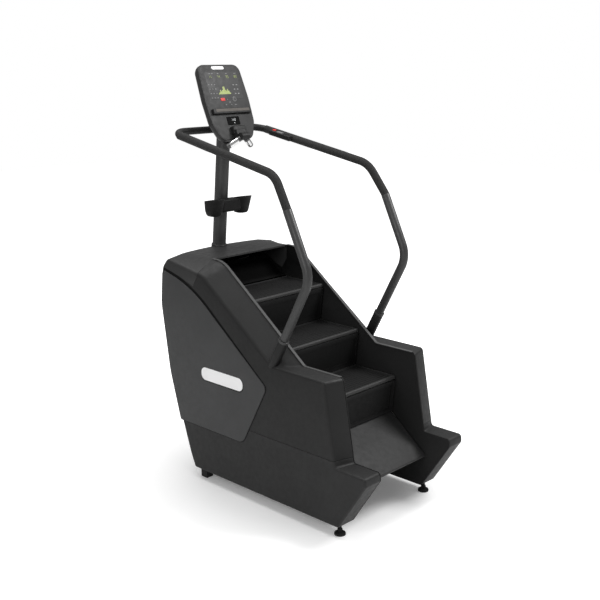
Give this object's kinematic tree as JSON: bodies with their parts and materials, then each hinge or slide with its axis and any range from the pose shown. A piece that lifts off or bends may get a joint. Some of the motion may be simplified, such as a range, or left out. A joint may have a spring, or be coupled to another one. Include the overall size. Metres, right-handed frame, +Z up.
{
  "type": "stair climber",
  "caption": "Revolving stair climber with bent handrails, a centre-post console, cup holder, side housings and chain-driven steps.",
  "frame": {"origin": "centre of the footprint on the floor", "axes": "+Z up, +Y from the user towards the console, +X to the user's right"},
  "size_m": [0.784, 1.4953, 2.1747],
  "materials": {
    "alternator_bracket": "powder coat",
    "alternator_housing": "as cast",
    "alternator_rotor": "turned",
    "base_rails": "powder coat",
    "base_shells": "fine-grain matt",
    "blank_badges": "gloss",
    "console_back": "satin",
    "console_circuit_board": "solder mask",
    "console_display": "glossy overlay",
    "console_face": "satin",
    "console_post": "satin powder coat",
    "console_start_key": "satin",
    "console_stop_key": "gloss red",
    "contact_plates": "polished",
    "cross_members": "powder coat",
    "cup_holder": "satin",
    "drive_belt": "matt",
    "drive_pulley": "turned",
    "front_foot_left": "matt",
    "front_foot_right": "matt",
    "front_grips": "fine-textured",
    "grip_bracket": "satin",
    "incline_beams": "powder coat",
    "inner_walls": "fine-grain matt",
    "lower_display": "glossy overlay",
    "lower_rails": "satin powder coat",
    "lower_shaft": "machined",
    "lower_sprockets": "machined",
    "media_ledge": "satin",
    "post_carrier": "powder coat",
    "power_inlet": "satin",
    "rail_control_body": "satin",
    "rail_grips": "fine-textured",
    "rail_loop": "powder coat",
    "rail_sockets": "powder coat",
    "rail_speed_rocker": "satin",
    "rail_stop_button": "gloss red",
    "rear_feet": "matt",
    "rear_panel": "fine-grain matt",
    "rim_trims": "satin",
    "shaft_bearings": "as cast",
    "side_panels": "fine-grain satin",
    "side_shells": "fine-grain matt",
    "step_1_riser": "powder coat",
    "step_1_tread": "powder coated",
    "step_2_riser": "powder coat",
    "step_2_tread": "powder coated",
    "step_3_riser": "powder coat",
    "step_3_tread": "powder coated",
    "step_4_riser": "powder coat",
    "step_4_tread": "powder coated",
    "step_5": "powder coated",
    "step_6": "powder coated",
    "step_7": "powder coated",
    "step_8": "powder coated",
    "step_chains": "machined",
    "top_cap": "fine-grain matt",
    "upper_shaft": "machined",
    "upper_sprockets": "machined",
    "uprights": "powder coat"
  },
  "bodies": {
    "machine": {"alternator_bracket": "alternator_bracket", "alternator_housing": "alternator_housing", "base_rails": "base_rails", "base_shells": "base_shells", "blank_badges": "blank_badges", "console_back": "console_back", "console_circuit_board": "console_circuit_board", "console_display": "console_display", "console_face": "console_face", "console_post": "console_post", "contact_plates": "contact_plates", "cross_members": "cross_members", "cup_holder": "cup_holder", "drive_belt": "drive_belt", "front_grips": "front_grips", "grip_bracket": "grip_bracket", "incline_beams": "incline_beams", "inner_walls": "inner_walls", "lower_display": "lower_display", "lower_rails": "lower_rails", "media_ledge": "media_ledge", "post_carrier": "post_carrier", "power_inlet": "power_inlet", "rail_control_body": "rail_control_body", "rail_grips": "rail_grips", "rail_loop": "rail_loop", "rail_sockets": "rail_sockets", "rear_feet": "rear_feet", "rear_panel": "rear_panel", "rim_trims": "rim_trims", "shaft_bearings": "shaft_bearings", "side_panels": "side_panels", "side_shells": "side_shells", "step_chains": "step_chains", "top_cap": "top_cap", "uprights": "uprights"},
    "drive_shaft": {"upper_shaft": "upper_shaft", "upper_sprockets": "upper_sprockets", "drive_pulley": "drive_pulley"},
    "idler_shaft": {"lower_shaft": "lower_shaft", "lower_sprockets": "lower_sprockets"},
    "step_1": {"step_1_tread": "step_1_tread", "step_1_riser": "step_1_riser"},
    "step_2": {"step_2_tread": "step_2_tread", "step_2_riser": "step_2_riser"},
    "step_3": {"step_3_tread": "step_3_tread", "step_3_riser": "step_3_riser"},
    "step_4": {"step_4_tread": "step_4_tread", "step_4_riser": "step_4_riser"},
    "step_5": {"step_5": "step_5"},
    "step_6": {"step_6": "step_6"},
    "step_7": {"step_7": "step_7"},
    "step_8": {"step_8": "step_8"},
    "alternator_shaft": {"alternator_rotor": "alternator_rotor"},
    "foot_left": {"front_foot_left": "front_foot_left"},
    "foot_right": {"front_foot_right": "front_foot_right"},
    "stop_button": {"rail_stop_button": "rail_stop_button"},
    "speed_rocker": {"rail_speed_rocker": "rail_speed_rocker"},
    "stop_key": {"console_stop_key": "console_stop_key"},
    "start_key": {"console_start_key": "console_start_key"}
  },
  "joints": [
    {"name": "drive_turn", "type": "hinge", "parent": "machine", "child": "drive_shaft", "pos_m": [0, 0.44133, 0.93492], "axis": [1, 0, 0], "range_deg": [0, 34.38]},
    {"name": "idler_turn", "type": "hinge", "parent": "machine", "child": "idler_shaft", "pos_m": [0, -0.32817, 0.3192], "axis": [1, 0, 0], "range_deg": [0, 34.38]},
    {"name": "step_1_travel", "type": "slide", "parent": "machine", "child": "step_1", "axis": [0, -0.7808, -0.6248], "range_m": [0, 0.06]},
    {"name": "step_2_travel", "type": "slide", "parent": "machine", "child": "step_2", "axis": [0, -0.7808, -0.6248], "range_m": [0, 0.06]},
    {"name": "step_3_travel", "type": "slide", "parent": "machine", "child": "step_3", "axis": [0, -0.7808, -0.6248], "range_m": [0, 0.06]},
    {"name": "step_4_travel", "type": "slide", "parent": "machine", "child": "step_4", "axis": [0, -0.7808, -0.6248], "range_m": [0, 0.06]},
    {"name": "step_5_travel", "type": "slide", "parent": "machine", "child": "step_5", "axis": [0, 0.7808, 0.6248], "range_m": [0, 0.06]},
    {"name": "step_6_travel", "type": "slide", "parent": "machine", "child": "step_6", "axis": [0, 0.7808, 0.6248], "range_m": [0, 0.06]},
    {"name": "step_7_travel", "type": "slide", "parent": "machine", "child": "step_7", "axis": [0, 0.7808, 0.6248], "range_m": [0, 0.06]},
    {"name": "step_8_turn", "type": "hinge", "parent": "machine", "child": "step_8", "pos_m": [0, 0.44133, 0.93492], "axis": [1, 0, 0], "range_deg": [0, 34.38]},
    {"name": "alternator_turn", "type": "hinge", "parent": "machine", "child": "alternator_shaft", "pos_m": [0, 0.50885, 0.56], "axis": [1, 0, 0], "range_deg": [0, 151.26]},
    {"name": "foot_left_turn", "type": "hinge", "parent": "machine", "child": "foot_left", "pos_m": [-0.332, -0.55215, 0], "axis": [0, 0, 1], "continuous": true},
    {"name": "foot_right_turn", "type": "hinge", "parent": "machine", "child": "foot_right", "pos_m": [0.332, -0.55215, 0], "axis": [0, 0, 1], "continuous": true},
    {"name": "stop_button_press", "type": "slide", "parent": "machine", "child": "stop_button", "axis": [0, 0.1908, -0.9816], "range_m": [0, 0.003], "stiffness_N_per_m": 1200, "springref_m": -0.0005},
    {"name": "speed_rocker_tilt", "type": "hinge", "parent": "machine", "child": "speed_rocker", "pos_m": [0.28531, 0.40401, 1.80081], "axis": [-0.9992, -0.0395, -0.0077], "range_deg": [-5, 5], "stiffness_Nm_per_rad": 0.5},
    {"name": "stop_key_press", "type": "slide", "parent": "machine", "child": "stop_key", "axis": [0, 0.9285, -0.3714], "range_m": [0, 0.001], "stiffness_N_per_m": 1500, "springref_m": -0.0003},
    {"name": "start_key_press", "type": "slide", "parent": "machine", "child": "start_key", "axis": [0, 0.9285, -0.3714], "range_m": [0, 0.001], "stiffness_N_per_m": 1500, "springref_m": -0.0003}
  ],
  "couplings": [
    {"joint": "idler_turn", "follows": "drive_turn", "ratio": 1},
    {"joint": "step_1_travel", "follows": "drive_turn", "m_per_rad": 0.1},
    {"joint": "step_2_travel", "follows": "drive_turn", "m_per_rad": 0.1},
    {"joint": "step_3_travel", "follows": "drive_turn", "m_per_rad": 0.1},
    {"joint": "step_4_travel", "follows": "drive_turn", "m_per_rad": 0.1},
    {"joint": "step_5_travel", "follows": "drive_turn", "m_per_rad": 0.1},
    {"joint": "step_6_travel", "follows": "drive_turn", "m_per_rad": 0.1},
    {"joint": "step_7_travel", "follows": "drive_turn", "m_per_rad": 0.1},
    {"joint": "step_8_turn", "follows": "drive_turn", "ratio": 1},
    {"joint": "alternator_turn", "follows": "drive_turn", "ratio": 4.4}
  ]
}
